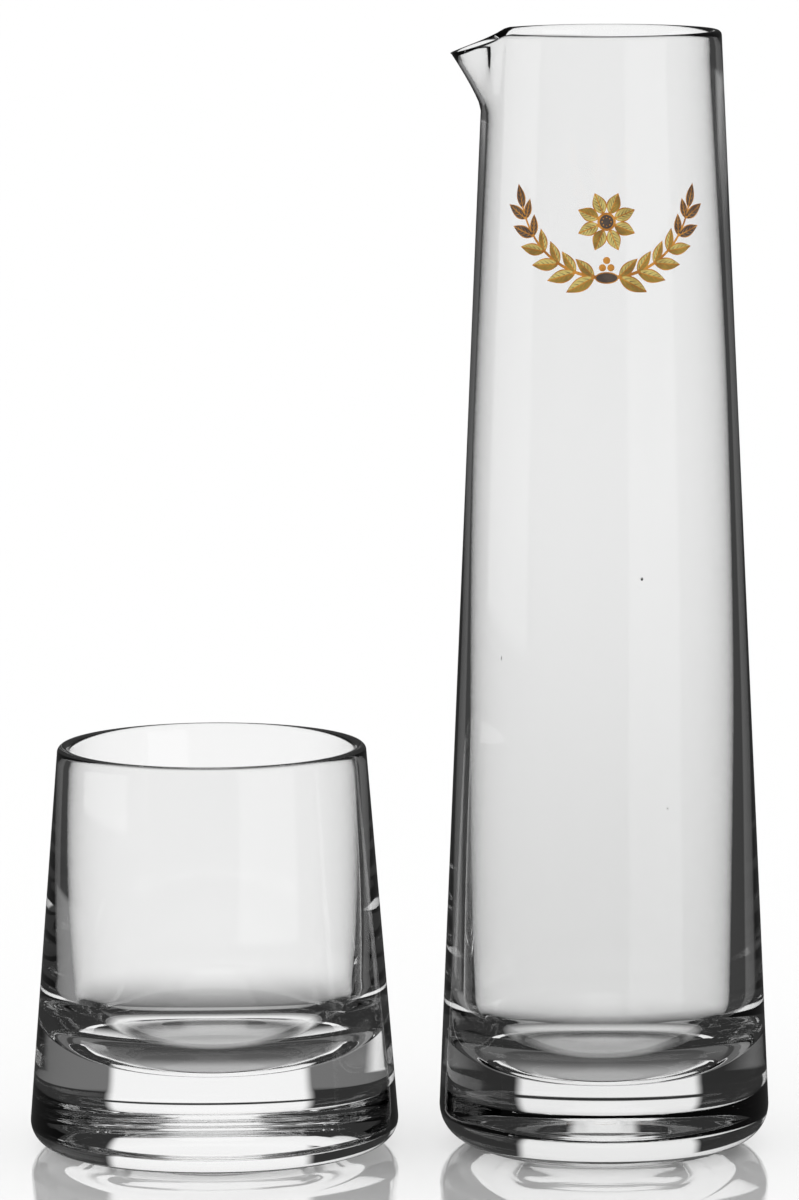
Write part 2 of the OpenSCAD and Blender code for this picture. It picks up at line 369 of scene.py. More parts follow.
@dataclass(frozen=True)
class FiredInk:
    """A gold or an enamel that is printed, fired on and rubbed.

    Attributes:
        name: Name of the material.
        colour: Colour of its body.
        shade: Colour where it lies thinner.
        metal: How metallic it is, 0 to 1.
        gloss_low: Roughness where it is smoothest.
        gloss_high: Roughness where it is dullest.
        cloud: Size of the mottling, mm.
        cloud_band: Noise at which the mottling begins, and at which it is full.
        dot: Size of the fine grain, mm.
        dot_band: Noise at which that grain's thin spots begin, and at which they are full.
        dot_share: How much of the thinness is in those spots.
        grain_depth: Height of that grain, mm.
        grain_strength: How much of that height shows.
    """

    name: str
    colour: tuple
    shade: tuple
    metal: float
    gloss_low: float
    gloss_high: float
    cloud: float = 2.6
    cloud_band: tuple[float, float] = (0.4, 0.65)
    dot: float = 0.25
    dot_band: tuple[float, float] = (0.5, 0.7)
    dot_share: float = 0.25
    grain_depth: float = 0.01
    grain_strength: float = 0.6

    def build(self) -> bpy.types.Material:
        """Makes the material.

        Returns:
            The finished material.
        """
        material, graph = new_material(self.name)
        clouds = graph.grain(self.cloud, detail=3.0).ramp(*self.cloud_band)
        dots = graph.grain(self.dot, detail=1.0)
        rough = self.gloss_low + (self.gloss_high - self.gloss_low) * dots
        thin = clouds * (1 - self.dot_share) + dots.ramp(*self.dot_band) * self.dot_share
        normal = graph.relief(dots, self.grain_depth, self.grain_strength)
        graph.surface({"Base Color": graph.mix(thin, self.colour, self.shade), "Metallic": self.metal,
                       "Roughness": rough, "Normal": normal})
        return material


class Ink(Enum):
    """The four inks of the print, with the CAD node that each is printed as."""

    GOLD = "motif_gold"
    OLIVE = "motif_olive"
    PALE = "motif_pale"
    UMBER = "motif_umber"


class Half(Enum):
    """The two halves of a leaf, seen from its stalk."""

    LEFT = 1
    RIGHT = -1


# Both glasses darken towards the bottom in painted shade; the carafe's starts higher and goes darker.
CARAFE_FINISH = ClearGlass(
    "carafe_glass", thin=(0.975, 0.976, 0.975, 1.0), cord=(0.969, 0.97, 0.969, 1.0),
    painted_shade=(0.875, 0.877, 0.875, 1.0), painted_shade_from=175.0,
)
TUMBLER_FINISH = ClearGlass("tumbler_glass", cord_size=14.0)
# An ink's numbers are how metallic it is, and its roughness where it is smoothest and dullest.
INK_FINISHES = {
    Ink.GOLD: FiredInk("fired_gold", linear(205, 142, 60), linear(150, 92, 32), 0.55, 0.28, 0.42),
    Ink.OLIVE: FiredInk("olive_enamel", linear(154, 128, 46), linear(118, 92, 30), 0.15, 0.3, 0.5),
    Ink.PALE: FiredInk("pale_enamel", linear(208, 190, 110), linear(176, 150, 72), 0.15, 0.3, 0.5),
    Ink.UMBER: FiredInk("umber_enamel", linear(78, 64, 54), linear(54, 42, 34), 0.1, 0.35, 0.55),
}


def make_piece(name: str, skins: list[Skin]) -> bpy.types.Object:
    """Makes a smooth-shaded mesh object.

    Args:
        name: Name of the piece.
        skins: The skins that it consists of.

    Returns:
        The object, in the scene.
    """
    points = np.concatenate([corners for corners, _ in skins])
    starts = np.cumsum([0] + [len(corners) for corners, _ in skins]).tolist()
    faces = [[start + corner for corner in face] for start, skin in zip(starts, skins) for face in skin[1]]
    mesh = bpy.data.meshes.new(name)
    mesh.from_pydata((points * MM).tolist(), [], faces)
    mesh.shade_smooth()
    mesh.set_sharp_from_angle(angle=SHARP_EDGE)
    mesh.validate()
    piece = bpy.data.objects.new(name, mesh)
    bpy.context.scene.collection.objects.link(piece)
    return piece


@dataclass(frozen=True)
class Wave:
    """One slow wave of a blown wall.

    Attributes:
        depth: Height of the wave, mm.
        turns: Waves round the glass.
        pitch: Height of one wave up the wall, mm.
        start: Angle at which it starts, degrees.
    """

    depth: float
    turns: int
    pitch: float
    start: float

    def at(self, angle: np.ndarray, z: np.ndarray) -> np.ndarray:
        """Returns the wave's offset at angles in radians and heights in millimetres."""
        swing = self.turns * angle + 2 * math.pi * z / self.pitch
        return self.depth * np.sin(swing + math.radians(self.start))


def swell(waves: tuple[Wave, ...], angle: np.ndarray, z: np.ndarray) -> np.ndarray:
    """Returns what waves add up to at angles in radians and heights in millimetres."""
    return sum((wave.at(angle, z) for wave in waves), np.zeros_like(z))


@dataclass(frozen=True)
class Seed:
    """A tiny bubble that is trapped in the wall.

    Attributes:
        across: Its place from the axis towards +X, mm.
        z: Its height, mm.
        depth: How deep under the outer skin it sits, mm.
        size: Its half sizes round the wall, through it and up it, mm.
        rows: Rows of corners from its bottom to its top.
        columns: Corners round it.
    """

    across: float
    z: float
    depth: float
    size: tuple[float, float, float]
    rows: int = 7
    columns: int = 12


@dataclass
class TaperedGlass:
    """A turned glass that tapers up from a heavy solid base.

    Its axis, its height and its foot's radius are read from the CAD node that it stands for.

    Attributes:
        node: CAD node that it replaces, which is also its material slot.
        body: CAD body that it rides on.
        name: Name of the piece.
        rim_r: Outer radius at the rim.
        foot_round: Radius of the rounded edge between the wall and the underside.
        foot_tuck: How much smaller the ring that it stands on is than the foot, in radius.
        foot_slope: Slope of the underside outside that ring, degrees.
        base_h: Solid glass under the cavity.
        floor_round: Radius with which the cavity curves into its floor.
        wall_rim: Wall at the rim.
        wall_thin: Wall where it is thinnest.
        wall_foot: Wall just above the cavity's floor.
        thin_drop: Depth of the thinnest wall below the rim.
        punt_depth: Depth of the hollow ground into the underside.
        ring_w: Width of the flat ring that it stands on.
        cavity_shift: How far the cavity lies off the axis along X and Y.
        outer_waves: Waves of the outer skin.
        inner_waves: Waves of the cavity's wall.
        seeds: Bubbles in the wall.
        foot_calm: Height up to which the outer waves grow in, as a multiple of the rounded edge's.
        lip_calm: Depth over which the cavity's waves and shift grow in, as a multiple of the lip's radius.
        segments: Corners round the glass.
        wall_step: Height of one row of a wall.
        round_steps: Steps round a rounded edge.
        ring_rows: Points across the flat ring.
        slope_rows: Points across the slope outside it.
    """

    node: str
    body: str
    name: str
    rim_r: float
    foot_round: float
    foot_tuck: float
    foot_slope: float
    base_h: float
    floor_round: float
    wall_rim: float
    wall_thin: float
    wall_foot: float
    thin_drop: float
    punt_depth: float = 0.3
    ring_w: float = 6.0
    cavity_shift: Point = (0.0, 0.0)
    outer_waves: tuple[Wave, ...] = ()
    inner_waves: tuple[Wave, ...] = ()
    seeds: tuple[Seed, ...] = ()
    foot_calm: float = 3.0
    lip_calm: float = 6.0
    segments: int = 288
    wall_step: float = 2.5
    round_steps: int = 18
    ring_rows: int = 4
    slope_rows: int = 6

    def __post_init__(self) -> None:
        """Reads the glass's place and main sizes from the frame."""
        low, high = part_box(self.node)
        self.axis_x = (low.x + high.x) / 2 / MM
        self.foot_r = (high.x - low.x) / 2 / MM
        self.height = high.z / MM
        self.lip_r = self.wall_rim / 2
        self.lip_z = self.height - self.lip_r
        self.thin_z = self.height - self.thin_drop
        self.bowl_z = self.base_h + self.floor_round
        slope = math.radians(self.foot_slope)
        self.ring_r = self.foot_r - self.foot_tuck
        slope_r = self.foot_r - self.foot_round * (1 - math.sin(slope))
        self.foot_z = (slope_r - self.ring_r) * math.tan(slope) + self.foot_round * math.cos(slope)
        self.hollow_r = self.ring_r - self.ring_w

    def outer_r(self, z: np.ndarray | float) -> np.ndarray | float:
        """Returns the outer radius at a height: straight from the rounded foot to the lip."""
        taper = (self.foot_r - self.rim_r) / (self.lip_z - self.foot_z)
        return self.foot_r - taper * (z - self.foot_z)

    def wall_at(self, z: float) -> float:
        """The wall's thickness, which grows with the square of the way from its thinnest place.

        Args:
            z: A height.

        Returns:
            The wall there.
        """
        if z <= self.thin_z:
            share = (self.thin_z - z) / (self.thin_z - self.bowl_z)
            return self.wall_thin + (self.wall_foot - self.wall_thin) * share**2
        share = (z - self.thin_z) / (self.lip_z - self.thin_z)
        return self.wall_thin + (self.wall_rim - self.wall_thin) * share**2

    def inner_r(self, z: float) -> float:
        """Returns the cavity's radius at a height."""
        return self.outer_r(z) - self.wall_at(z)

    def lip(self, start: float, end: float) -> list[Point]:
        """Returns the lip's points from one angle to another."""
        return arc((self.rim_r - self.lip_r, self.lip_z), self.lip_r, start, end, self.round_steps // 2)

    def wall(self, radius: Callable[[float], float], start: float, end: float) -> list[Point]:
        """Returns a wall's points between two heights, without its ends."""
        rows = int(abs(end - start) / self.wall_step)
        return [(radius(z), z) for z in np.linspace(start, end, rows)[1:-1]]

    def outer_outline(self) -> list[Point]:
        """The outside, from the middle of the underside up to the top of the lip.

        Returns:
            Radius and height of each point.
        """
        grind_r = (self.hollow_r**2 + self.punt_depth**2) / (2 * self.punt_depth)
        hollow = [(r, self.punt_depth - grind_r + math.sqrt(grind_r**2 - r**2))
                  for r in np.linspace(0, self.hollow_r, self.round_steps)[:-1]]
        ring = [(r, 0.0) for r in np.linspace(self.hollow_r, self.ring_r, self.ring_rows)[:-1]]
        foot = arc((self.foot_r - self.foot_round, self.foot_z), self.foot_round, self.foot_slope - 90, 0,
                   self.round_steps)
        slope = [(r, (r - self.ring_r) * math.tan(math.radians(self.foot_slope)))
                 for r in np.linspace(self.ring_r, foot[0][0], self.slope_rows)[:-1]]
        wall = self.wall(self.outer_r, self.foot_z, self.lip_z)
        return hollow + ring + slope + foot + wall + self.lip(0, 90)

    def inner_outline(self) -> list[Point]:
        """The cavity, from just past the top of the lip down to the middle of its floor.

        Returns:
            Radius and height of each point.
        """
        wall = self.wall(self.inner_r, self.lip_z, self.bowl_z)
        floor_r = self.inner_r(self.bowl_z) - self.floor_round
        bowl = arc((floor_r, self.bowl_z), self.floor_round, 0, -90, self.round_steps)
        floor = [(r, self.base_h) for r in np.linspace(floor_r, 0, self.round_steps // 2)[1:]]
        return self.lip(90, 180)[1:] + wall + bowl + floor

    def skin_swell(self, angle: np.ndarray, z: np.ndarray) -> np.ndarray:
        """Returns what the outer waves add to the radius."""
        return swell(self.outer_waves, angle, z) * ease(z, self.foot_z, self.foot_calm * self.foot_z)

    def skin_r(self, angle: np.ndarray, z: np.ndarray) -> np.ndarray:
        """Returns the radius of the outer skin with its waves, for what is printed on it."""
        return self.outer_r(z) + self.skin_swell(angle, z)

    def bend(self, r: np.ndarray, angle: np.ndarray, z: np.ndarray) -> tuple[np.ndarray, np.ndarray]:
        """Moves places of the turned shape to those of the finished one; a plain glass stays as turned.

        Args:
            r: Radii, mm.
            angle: Angles round the axis, radians.
            z: Heights, mm.

        Returns:
            The new radii and heights.
        """
        return r, z

    def points(self) -> np.ndarray:
        """The glass's corners, ring by ring from the underside round the lip to the cavity's floor.

        Returns:
            The corners as rings by segments by three.
        """
        outer, inner = self.outer_outline(), self.inner_outline()
        inside = np.repeat((0.0, 1.0), (len(outer), len(inner)))[:, None]
        r, z = np.hsplit(np.array(outer + inner), 2)
        angle = np.linspace(0, 2 * math.pi, self.segments, endpoint=False)[None, :]
        loose = inside * ease(z, self.height, self.height - self.lip_calm * self.lip_r)
        r = r + (1 - inside) * self.skin_swell(angle, z)
        r = r + loose * swell(self.inner_waves, angle, z) * ease(r, 0, self.inner_r(self.bowl_z))
        r, z = self.bend(r, angle, z)
        x = r * np.cos(angle) + self.axis_x + loose * self.cavity_shift[0]
        y = r * np.sin(angle) + loose * self.cavity_shift[1]
        return np.stack(np.broadcast_arrays(x, y, z), axis=-1)

    def seed_skin(self, seed: Seed) -> Skin:
        """Builds the wall of one bubble, which faces into the bubble.

        Args:
            seed: The bubble.

        Returns:
            Its skin.
        """
        reach = self.outer_r(seed.z) - seed.depth
        turn = -math.acos(seed.across / reach)
        tilt = np.linspace(-math.pi / 2, math.pi / 2, seed.rows)[:, None]
        spin = np.linspace(0, 2 * math.pi, seed.columns, endpoint=False)[None, :]
        through = seed.size[1] * np.cos(tilt) * np.cos(spin)
        around = seed.size[0] * np.cos(tilt) * np.sin(spin)
        x = self.axis_x + (reach + through) * math.cos(turn) - around * math.sin(turn)
        y = (reach + through) * math.sin(turn) + around * math.cos(turn)
        z = seed.z + seed.size[2] * np.sin(tilt)
        return close_poles(np.stack(np.broadcast_arrays(x, y, z), axis=-1), flip=True)

    def build(self, finish: bpy.types.Material) -> bpy.types.Object:
        """Makes the glass, dresses it and puts it on its body.

        Args:
            finish: Its material.

        Returns:
            The finished piece.
        """
        piece = make_piece(self.name, [close_poles(self.points()), *map(self.seed_skin, self.seeds)])
        piece.data.materials.append(finish)
        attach(piece, self.body)
        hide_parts(self.node)
        LOG.info("%s: %.0f mm tall, %.0f mm across the foot", self.name, self.height, 2 * self.foot_r)
        return piece


def close_poles(rings: np.ndarray, flip: bool = False) -> Skin:
    """Joins rings of corners into a closed skin; the first and the last ring are each one point.

    Args:
        rings: Corners as rings by segments by three.
        flip: Whether the skin faces the other way.

    Returns:
        The skin.
    """
    segments = rings.shape[1]
    points = np.concatenate([rings[0, :1], rings[1:-1].reshape(-1, 3), rings[-1, :1]])
    last = len(points) - 1
    top = last - segments
    faces: list[Sequence[int]] = []
    for i in range(segments):
        j = (i + 1) % segments
        faces.append((0, 1 + j, 1 + i))
        for low in range(1, top, segments):
            faces.append((low + i, low + j, low + segments + j, low + segments + i))
        faces.append((top + i, top + j, last))
    return points, [face[::-1] for face in faces] if flip else faces


@dataclass
class Carafe(TaperedGlass):
    """The carafe: a tapered glass whose lip is pulled out and down into a spout towards -X.

    Attributes:
        spout_reach: How far the spout's tip stands out from the rim.
        spout_droop: How far the tip lies below the rim.
        spout_h: Height over which the spout grows out of the wall.
        spout_half_w: Half of the angle that the nose takes up.
        droop_half_w: Half of the angle over which the rim runs down.
        spout_power: How late the nose swells on its way up.
        spout_pinch_share: How much of the lip's thickness is left at the spout's tip.
    """

    spout_reach: float = 8.4
    spout_droop: float = 4.6
    spout_h: float = 18.5
    spout_half_w: float = 30.0
    droop_half_w: float = 38.0
    spout_power: float = 1.15
    spout_pinch_share: float = 0.5

    def bend(self, r: np.ndarray, angle: np.ndarray, z: np.ndarray) -> tuple[np.ndarray, np.ndarray]:
        """Pulls the spout out of the top of the wall.

        Args:
            r: Radii, mm.
            angle: Angles round the axis, radians.
            z: Heights, mm.

        Returns:
            The new radii and heights.
        """
        off_nose = np.degrees(np.abs(angle - math.pi))

        def bulge(half_w: float) -> np.ndarray:
            """Returns a swell that is 1 in the spout's middle and 0 from half_w degrees off it."""
            return np.cos(np.radians(np.clip(off_nose / half_w, 0, 1) * 90)) ** 2

        climb = np.clip((z - self.height + self.spout_h) / self.spout_h, 0, 1)
        fall = bulge(self.droop_half_w) * climb
        pinch = 1 - (1 - self.spout_pinch_share) * fall
        core_r = self.rim_r - self.lip_r
        pulled = core_r + (r - core_r) * pinch + self.lip_r * (1 - pinch)
        lip_up = np.maximum(z - self.lip_z, 0) * (1 - pinch)
        r = pulled + self.spout_reach * bulge(self.spout_half_w) * climb**self.spout_power
        return r, z - lip_up - self.spout_droop * fall


@dataclass(frozen=True)
class Stroke:
    """One patch of ink between two edges that run along a line.

    Attributes:
        line: Where it runs.
        low: Offset of its right edge from the line.
        high: Offset of its left edge from the line.
        rows: Steps along the line.
        columns: Steps from edge to edge.
    """

    line: Line
    low: Width
    high: Width
    rows: int = 14
    columns: int = 5

    @classmethod
    def even(cls, line: Line, half_w: Width, rows: int = 14, columns: int = 5) -> "Stroke":
        """Returns a stroke that reaches as far to the right of its line as to the left."""
        return cls(line, lambda t: -half_w(t), half_w, rows, columns)

    def sheet(self, mirror: bool) -> np.ndarray:
        """Corners on the flat sheet.

        Args:
            mirror: Whether it lies on the other side of the wreath.

        Returns:
            Rows by columns by two, round and up from the motif's middle.
        """
        spread = []
        for t in np.linspace(0, 1, self.rows + 1):
            s, z, heading = self.line(t)
            for side in np.linspace(self.low(t), self.high(t), self.columns + 1):
                spread.append((s - side * math.sin(heading), z + side * math.cos(heading)))
        grid = np.array(spread).reshape(self.rows + 1, self.columns + 1, 2)
        return grid[:, ::-1] * (-1, 1) if mirror else grid


@dataclass(frozen=True)
class Layer:
    """One layer of the print.

    Attributes:
        lift: Height of its back above the glass.
        thick: Its thickness.
    """

    lift: float
    thick: float


@dataclass
class Wreath:
    """The print on the front: two laurel sprays crossed under a rosette, with a tie and three berries.

    Attributes:
        glass: The carafe that carries it.
        drop: Depth of its middle below the rim.
        arc_r: Radius of the arc that both stems follow.
        arc_drop: Depth of the wreath's lowest point below its middle.
        arc_start: Heading of the right-hand stem at its foot.
        arc_end: Heading of that stem at its tip.
        stem_w: Width of a stem at its foot.
        stem_tip_share: Width at its end, as a share of that.
        leaf_long: Length of the leaves at the foot.
        leaf_short: Length of the leaves at the tips.
        leaf_w: Greatest width of the longest leaf.
        belly_share: Power of the way along a leaf; below 1 the leaf is widest nearer its stalk.
        inner_share: Size of the inner leaves, as a share of the outer ones.
        splay: Angle of a leaf to its stem.
        pairs: Pairs of leaves on a spray.
        umber_pairs: How many of those at the tip are umber.
        first_pair_share: Way from the stem's foot to the first pair, in steps from pair to pair.
        last_gap_share: How much shorter than a step the way from the last pair to the tip is.
        line_w: Width of the gold line round a coloured half.
        fill_shares: Where a coloured half begins and ends, as shares of the leaf.
        rib_share: Least reach of a coloured half, in half widths of the gold line.
        vein_w: Width of the veins over the enamel.
        veins: Veins on each half of a leaf.
        vein_slant: Angle of a vein to the rib.
        vein_tip_share: Extra room before the leaf's tip, in steps from vein to vein.
        vein_seat_share: Distance of a vein's start from the rib's middle, in widths of the gold line.
        vein_reach_share: How far a vein reaches across its half.
        vein_lead_share: How far along the half that reach is measured ahead of the vein's start.
        vein_point_share: Width of a vein's end, as a share of its start.
        petals: Petals of the rosette.
        petal_len: Their length.
        petal_w: Their width.
        button_r: Radius of the rosette's button.
        dot_ring_share: Radius of the ring of dots on the button, as a share of the button's.
        rosette_rise: Height of its middle above the motif's middle.
        tie_shares: Half width and half height of the tie, as shares of the longest leaf.
        berry_r: Radius of a berry.
        gap: Clearance between glass, gold and enamel.
        gold_t: Thickness of the gold.
        enamel_t: Thickness of an enamel.
        edge_share: Thickness of a stroke's edges, as a share of its middle's.
    """

    glass: Carafe
    drop: float = 47.0
    arc_r: float = 22.0
    arc_drop: float = 9.6
    arc_start: float = -8.0
    arc_end: float = 76.0
    stem_w: float = 0.9
    stem_tip_share: float = 0.45
    leaf_long: float = 8.2
    leaf_short: float = 6.0
    leaf_w: float = 3.5
    belly_share: float = 0.85
    inner_share: float = 0.8
    splay: float = 36.0
    pairs: int = 6
    umber_pairs: int = 2
    first_pair_share: float = 1.3
    last_gap_share: float = 0.25
    line_w: float = 0.28
    fill_shares: tuple[float, float] = (0.1, 0.9)
    rib_share: float = 1.05
    vein_w: float = 0.15
    veins: int = 4
    vein_slant: float = 34.0
    vein_tip_share: float = 0.6
    vein_seat_share: float = 0.8
    vein_reach_share: float = 0.72
    vein_lead_share: float = 0.12
    vein_point_share: float = 0.02
    petals: int = 8
    petal_len: float = 5.4
    petal_w: float = 3.3
    button_r: float = 1.9
    dot_ring_share: float = 0.55
    rosette_rise: float = 3.6
    tie_shares: tuple[float, float] = (0.34, 0.17)
    berry_r: float = 0.85
    gap: float = 0.02
    gold_t: float = 0.06
    enamel_t: float = 0.05
    edge_share: float = 0.6

    def __post_init__(self) -> None:
        """Works out the layers, and starts with no strokes."""
        self.middle_z = self.glass.height - self.drop
        self.ground = Layer(self.gap, self.gold_t)
        self.colour = Layer(self.gap + self.gold_t + self.gap, self.enamel_t)
        self.detail = Layer(self.colour.lift + self.enamel_t + self.gap, self.enamel_t / 2)
        self.strokes: dict[Ink, list[tuple[Stroke, Layer, bool]]] = {ink: [] for ink in Ink}

    def stem_point(self, t: float) -> Place:
        """Returns place and heading on the right-hand stem at a share of its length."""
        heading = math.radians(self.arc_start + (self.arc_end - self.arc_start) * t)
        return self.arc_r * math.sin(heading), self.arc_r * (1 - math.cos(heading)) - self.arc_drop, heading

    def belly(self, t: float) -> float:
        """Returns a leaf's half width as a share of its greatest, at a share of its length."""
        return max(0.0, math.sin(math.pi * t**self.belly_share))

    @staticmethod
    def ray(start: Place, turn: float, length: float, skip: float = 0.0) -> Line:
        """A straight line from a place.

        Args:
            start: Place and heading that it leaves from.
            turn: Angle to that heading, radians.
            length: Its length.
            skip: Stretch that is left out at its start.

        Returns:
            The line.
        """
        s, z, heading = start
        heading = heading + turn
        return lambda t: (s + (skip + length * t) * math.cos(heading),
                          z + (skip + length * t) * math.sin(heading), heading)

    def add(self, ink: Ink, layer: Layer, stroke: Stroke, both: bool = True) -> None:
        """Adds a stroke to the print.

        Args:
            ink: Its ink.
            layer: Its layer.
            stroke: The stroke.
            both: Whether the other side of the wreath gets its mirror image.
        """
        self.strokes[ink].append((stroke, layer, both))

    def leaf(self, start: Place, turn: float, length: float, width: float, inks: tuple[Ink, Ink],
             both: bool = True) -> None:
        """One leaf: a gold ground, two coloured halves and the veins over them.

        Args:
            start: Place and heading of its stalk.
            turn: Angle to that heading, radians.
            length: Its length.
            width: Its greatest width.
            inks: Inks of its left and its right half.
            both: Whether the other side of the wreath gets its mirror image.
        """
        ground = Stroke.even(self.ray(start, turn, length), lambda t: width / 2 * self.belly(t))
        self.add(Ink.GOLD, self.ground, ground, both)
        low, high = self.fill_shares
        rib, edge = self.line_w / 2, width / 2 - self.line_w
        line = self.ray(start, turn, length * (high - low), length * low)

        def reach(t: float) -> float:
            """Returns the width of a coloured half at a share of its length."""
            return max(rib * self.rib_share, edge * self.belly(low + (high - low) * t))

        for half, ink in zip(Half, inks):
            sign = half.value
            edges = (lambda t, sign=sign: sign * rib, lambda t, sign=sign: sign * reach(t))
            self.add(ink, self.colour, Stroke(line, *edges[::sign]), both)
            self.add_veins(line, reach, half, ink, both)

    def add_veins(self, line: Line, reach: Width, half: Half, ink: Ink, both: bool) -> None:
        """Fine veins that slant from the rib to the edge of a coloured half.

        Args:
            line: The leaf's rib.
            reach: Width of the half along it.
            half: Which half it is.
            ink: Ink of that half.
            both: Whether the other side of the wreath gets them too.
        """
        vein_ink = Ink.UMBER if ink is Ink.PALE else Ink.GOLD
        slant = math.radians(self.vein_slant)
        for i in range(self.veins):
            t = (i + 0.5) / (self.veins + self.vein_tip_share)
            s, z, heading = line(t)
            length = self.vein_reach_share * reach(min(1.0, t + self.vein_lead_share)) / math.sin(slant)
            side = half.value * self.line_w * self.vein_seat_share
            start = (s - side * math.sin(heading), z + side * math.cos(heading), heading)
            vein = Stroke.even(self.ray(start, half.value * slant, length),
                               lambda t: self.vein_w / 2 * (1 + self.vein_point_share - t), rows=4, columns=1)
            self.add(vein_ink, self.detail, vein, both)

    def spot(self, ink: Ink, layer: Layer, place: Point, half_w: float, half_h: float) -> None:
        """A round or oval spot.

        Args:
            ink: Its ink.
            layer: Its layer.
            place: Its middle on the sheet.
            half_w: Half of its width.
            half_h: Half of its height.
        """
        def line(t: float) -> Place:
            """Returns the place on the spot's level middle line."""
            return place[0] - half_w * math.cos(math.pi * t), place[1], 0.0

        disc = Stroke.even(line, lambda t: half_h * math.sin(math.pi * t), rows=18, columns=6)
        self.add(ink, layer, disc, both=False)

    def sprays(self) -> None:
        """The two stems with their leaves."""
        half = self.stem_w / 2
        narrow = 1 - self.stem_tip_share
        stem = Stroke.even(self.stem_point, lambda t: half * (1 - narrow * t), rows=40, columns=1)
        self.add(Ink.GOLD, self.ground, stem)
        for pair in range(self.pairs):
            t = (pair + self.first_pair_share) / (self.pairs + self.first_pair_share - self.last_gap_share)
            tip = pair >= self.pairs - self.umber_pairs
            inks = (Ink.UMBER, Ink.UMBER) if tip else (Ink.PALE, Ink.OLIVE)
            # The outer leaf points to the right of the stem, the smaller inner one to the left.
            for sign, size in ((-1, 1.0), (1, self.inner_share)):
                length = (self.leaf_long + (self.leaf_short - self.leaf_long) * t) * size
                self.leaf(self.stem_point(t), sign * math.radians(self.splay), length,
                          self.leaf_w * length / self.leaf_long, inks)
        s, z, heading = self.stem_point(1)
        seat = (s - self.stem_w * math.cos(heading), z - self.stem_w * math.sin(heading), heading)
        self.leaf(seat, 0.0, self.leaf_short, self.leaf_w * self.leaf_short / self.leaf_long,
                  (Ink.UMBER, Ink.UMBER))

    def on_rosette(self, radius: float, turn: float) -> Point:
        """Returns the place at a radius from the rosette's middle and at an angle in radians."""
        return radius * math.cos(turn), self.rosette_rise + radius * math.sin(turn)

    def rosette(self) -> None:
        """The rosette of petals round a button with a ring of dots."""
        for i in range(self.petals):
            heading = 2 * math.pi * (i + 0.5) / self.petals
            inks = (Ink.PALE, Ink.OLIVE if i % 2 else Ink.PALE)
            self.leaf((*self.on_rosette(self.button_r, heading), heading), 0.0, self.petal_len, self.petal_w,
                      inks, both=False)
        middle = (0.0, self.rosette_rise)
        for ink, layer, radius in ((Ink.GOLD, self.ground, self.button_r + self.line_w),
                                   (Ink.UMBER, self.colour, self.button_r - self.line_w)):
            self.spot(ink, layer, middle, radius, radius)
        for i in range(self.petals):
            dot = self.on_rosette(self.dot_ring_share * self.button_r, 2 * math.pi * i / self.petals)
            self.spot(Ink.GOLD, self.detail, dot, self.vein_w, self.vein_w)

    def tie(self) -> None:
        """The tie round the crossing stems, and three berries over it."""
        half_w, half_h = (self.leaf_long * share for share in self.tie_shares)
        low = (0.0, -self.arc_drop)
        self.spot(Ink.GOLD, self.ground, low, half_w, half_h)
        self.spot(Ink.UMBER, self.colour, low, half_w - self.line_w, half_h - self.line_w)
        side = self.berry_r + self.line_w / 2
        stand = half_h + side - self.arc_drop
        for place in ((-side, stand), (side, stand), (0.0, stand + side * math.sqrt(3))):
            self.spot(Ink.GOLD, self.ground, place, self.berry_r, self.berry_r)

    def wrap(self, sheet: np.ndarray, lift: np.ndarray | float) -> np.ndarray:
        """Presses places on the flat sheet round the front of the glass.

        Args:
            sheet: Places round and up from the motif's middle.
            lift: Their height above the glass.

        Returns:
            The places in space.
        """
        z = self.middle_z + sheet[..., 1]
        turn = sheet[..., 0] / self.glass.outer_r(z) - math.pi / 2
        r = self.glass.skin_r(turn, z) + lift
        return np.stack([self.glass.axis_x + r * np.cos(turn), r * np.sin(turn), z], axis=-1)

    def film(self, stroke: Stroke, layer: Layer, mirror: bool) -> Skin:
        """One stroke as a closed film with a slightly crowned front.

        Args:
            stroke: The stroke.
            layer: Its layer.
            mirror: Whether it lies on the other side of the wreath.

        Returns:
            Its skin.
        """
        sheet = stroke.sheet(mirror)
        rows, columns = sheet.shape[:2]
        crown = 1 - np.linspace(-1, 1, columns) ** 2 if columns > 2 else np.ones(columns)
        front = layer.lift + layer.thick * (self.edge_share + (1 - self.edge_share) * crown)
        points = np.concatenate([self.wrap(sheet, lift).reshape(-1, 3) for lift in (front, layer.lift)])
        back = rows * columns
        grid = np.arange(back).reshape(rows, columns)
        fronts = np.stack([grid[:-1, :-1], grid[1:, :-1], grid[1:, 1:], grid[:-1, 1:]], axis=-1)
        fronts = fronts.reshape(-1, 4)
        faces = np.stack([fronts, back + fronts[:, ::-1]], axis=1).reshape(-1, 4)
        here = np.concatenate([grid[:, 0], grid[-1, 1:], grid[-2::-1, -1], grid[0, -2:0:-1]])
        there = np.roll(here, -1)
        sides = np.stack([there, here, back + here, back + there], axis=-1)
        return points, np.concatenate([faces, sides]).tolist()

    def build(self, ink: Ink, finish: bpy.types.Material) -> bpy.types.Object:
        """Makes all strokes of one ink as one piece.

        Args:
            ink: The ink.
            finish: Its material.

        Returns:
            The finished piece.
        """
        films = [self.film(stroke, layer, mirror) for mirror in (False, True)
                 for stroke, layer, both in self.strokes[ink] if both or not mirror]
        piece = make_piece("wreath_" + ink.name.lower(), films)
        weld(piece)
        piece.data.materials.append(finish)
        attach(piece, self.glass.body)
        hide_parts(ink.value)
        LOG.info("%s: %d strokes", piece.name, len(films))
        return piece


